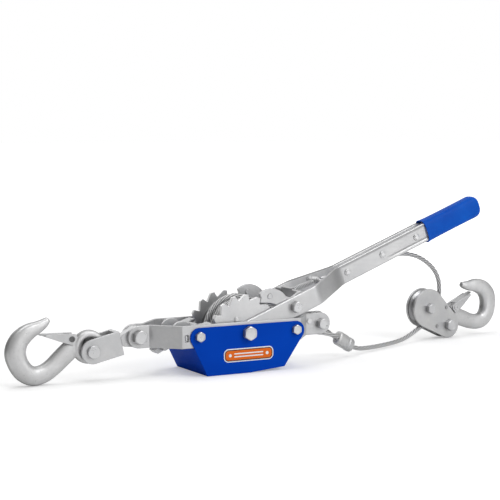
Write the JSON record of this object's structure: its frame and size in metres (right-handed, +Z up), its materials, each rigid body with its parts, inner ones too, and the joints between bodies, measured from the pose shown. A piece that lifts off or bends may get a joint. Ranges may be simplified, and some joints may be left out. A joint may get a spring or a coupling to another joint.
{
  "type": "come along winch",
  "caption": "Hand lever cable puller: ratchet drum between two frame bars over a blue folded guard, swivel anchor hook, wire rope with sheave block and load hook.",
  "frame": {"origin": "on the flat bottom of the guard, straight below the drum shaft", "axes": "+X from the anchor hook towards the handle end, +Y away from the badge side, +Z up"},
  "size_m": [0.8532, 0.1717, 0.2249],
  "materials": {
    "zinc_plated_steel": "bright zinc plate over rolled steel",
    "forged_zinc": "bright zinc plate over a forging",
    "bare_steel": "plain steel, lightly oiled",
    "wire_rope": "galvanised stranded wire",
    "blue_paint": "glossy blue powder coat",
    "blue_grip": "dipped soft vinyl",
    "bronze": "plain bearing bronze"
  },
  "bodies": {
    "frame": {"frame_plate_front": "zinc_plated_steel", "frame_plate_rear": "zinc_plated_steel", "guard": "blue_paint", "guard_bolts": "zinc_plated_steel", "guard_nuts": "zinc_plated_steel", "drum_shaft_bolt": "zinc_plated_steel", "drum_shaft_nut": "zinc_plated_steel", "anchor_bolt": "zinc_plated_steel", "anchor_nut": "zinc_plated_steel", "rope_end_bolt": "zinc_plated_steel", "rope_end_nut": "zinc_plated_steel", "neck_rivet": "zinc_plated_steel", "rope_thimble": "zinc_plated_steel", "rope_ferrule": "zinc_plated_steel", "rope_eye": "wire_rope", "rope_run": "wire_rope", "holding_pawl_pin": "zinc_plated_steel", "holding_pawl_spring": "bare_steel", "block_plate_front": "zinc_plated_steel", "block_plate_rear": "zinc_plated_steel", "sheave_bolt": "zinc_plated_steel", "sheave_nut": "zinc_plated_steel", "hook_bolt": "zinc_plated_steel", "hook_nut": "zinc_plated_steel", "block_spacers": "bare_steel"},
    "drum": {"ratchet_wheel_front": "zinc_plated_steel", "ratchet_wheel_rear": "zinc_plated_steel", "drum_spool": "bare_steel", "drum_rivets": "zinc_plated_steel", "rope_on_drum": "wire_rope"},
    "handle": {"handle_strap_front": "zinc_plated_steel", "handle_strap_rear": "zinc_plated_steel", "handle_grip": "blue_grip", "handle_rivets": "zinc_plated_steel", "handle_spacers": "bare_steel", "pawl_bolt": "zinc_plated_steel", "pawl_bolt_nut": "zinc_plated_steel", "spring_cross_pin": "zinc_plated_steel", "pawl_spring": "bare_steel"},
    "drive_pawl": {"drive_pawl": "zinc_plated_steel", "pawl_rivets": "zinc_plated_steel"},
    "spring_rod": {"spring_rod": "zinc_plated_steel"},
    "holding_pawl": {"holding_pawl": "zinc_plated_steel"},
    "swivel_eye": {"swivel_eye": "zinc_plated_steel"},
    "clevis": {"clevis": "zinc_plated_steel", "clevis_pin": "zinc_plated_steel"},
    "anchor_hook": {"anchor_hook": "forged_zinc", "anchor_latch_rivet": "zinc_plated_steel", "anchor_latch_spring": "bare_steel"},
    "anchor_latch": {"anchor_latch": "zinc_plated_steel"},
    "sheave": {"sheave": "zinc_plated_steel", "sheave_bush": "bronze"},
    "load_hook": {"load_hook": "forged_zinc", "load_latch_rivet": "zinc_plated_steel", "load_latch_spring": "bare_steel"},
    "load_latch": {"load_latch": "zinc_plated_steel"}
  },
  "joints": [
    {"name": "handle_swing", "type": "hinge", "parent": "frame", "child": "handle", "pos_m": [0, 0, 0.0535], "axis": [0, -1, 0], "range_deg": [0, 90]},
    {"name": "drum_spin", "type": "hinge", "parent": "frame", "child": "drum", "pos_m": [0, 0, 0.0535], "axis": [0, -1, 0], "range_deg": [0, 90]},
    {"name": "drive_pawl_lift", "type": "hinge", "parent": "handle", "child": "drive_pawl", "pos_m": [0.07645, 0, 0.08315], "axis": [0, 1, 0], "range_deg": [0, 9], "stiffness_Nm_per_rad": 0.4, "springref_deg": -17.19},
    {"name": "spring_rod_slide", "type": "slide", "parent": "handle", "child": "spring_rod", "axis": [0.9576, 0, 0.2881], "range_m": [0, 0.0034], "deforming": ["pawl_spring"]},
    {"name": "holding_pawl_swing", "type": "hinge", "parent": "frame", "child": "holding_pawl", "pos_m": [-0.0904, 0, 0.0518], "axis": [0, 1, 0], "range_deg": [0, 8]},
    {"name": "swivel_eye_swing", "type": "hinge", "parent": "frame", "child": "swivel_eye", "pos_m": [-0.1442, 0, 0.0535], "axis": [0, 1, 0], "range_deg": [-40, 40]},
    {"name": "clevis_swivel", "type": "hinge", "parent": "swivel_eye", "child": "clevis", "pos_m": [-0.1442, 0, 0.0535], "axis": [-0.9763, 0, -0.2164], "continuous": true},
    {"name": "anchor_hook_swing", "type": "hinge", "parent": "clevis", "child": "anchor_hook", "pos_m": [-0.20912, 0, 0.03911], "axis": [0, 1, 0], "range_deg": [-50, 50]},
    {"name": "anchor_latch_open", "type": "hinge", "parent": "anchor_hook", "child": "anchor_latch", "pos_m": [-0.2361, 0, 0.05696], "axis": [0, -1, 0], "range_deg": [0, 28], "stiffness_Nm_per_rad": 0.05, "springref_deg": -22.92},
    {"name": "sheave_spin", "type": "hinge", "parent": "frame", "child": "sheave", "pos_m": [0.38516, 0.09064, 0.049], "axis": [-0.1045, 0.9945, 0], "continuous": true},
    {"name": "load_hook_swing", "type": "hinge", "parent": "frame", "child": "load_hook", "pos_m": [0.42574, 0.09491, 0.0205], "axis": [0.1045, -0.9945, 0], "range_deg": [-12, 5]},
    {"name": "load_latch_open", "type": "hinge", "parent": "load_hook", "child": "load_latch", "pos_m": [0.44254, 0.09667, 0.04593], "axis": [-0.1045, 0.9945, 0], "range_deg": [0, 28], "stiffness_Nm_per_rad": 0.05, "springref_deg": -22.92}
  ],
  "couplings": [
    {"joint": "drum_spin", "follows": "handle_swing", "ratio": 1},
    {"joint": "spring_rod_slide", "follows": "drive_pawl_lift", "m_per_rad": 0.02}
  ]
}
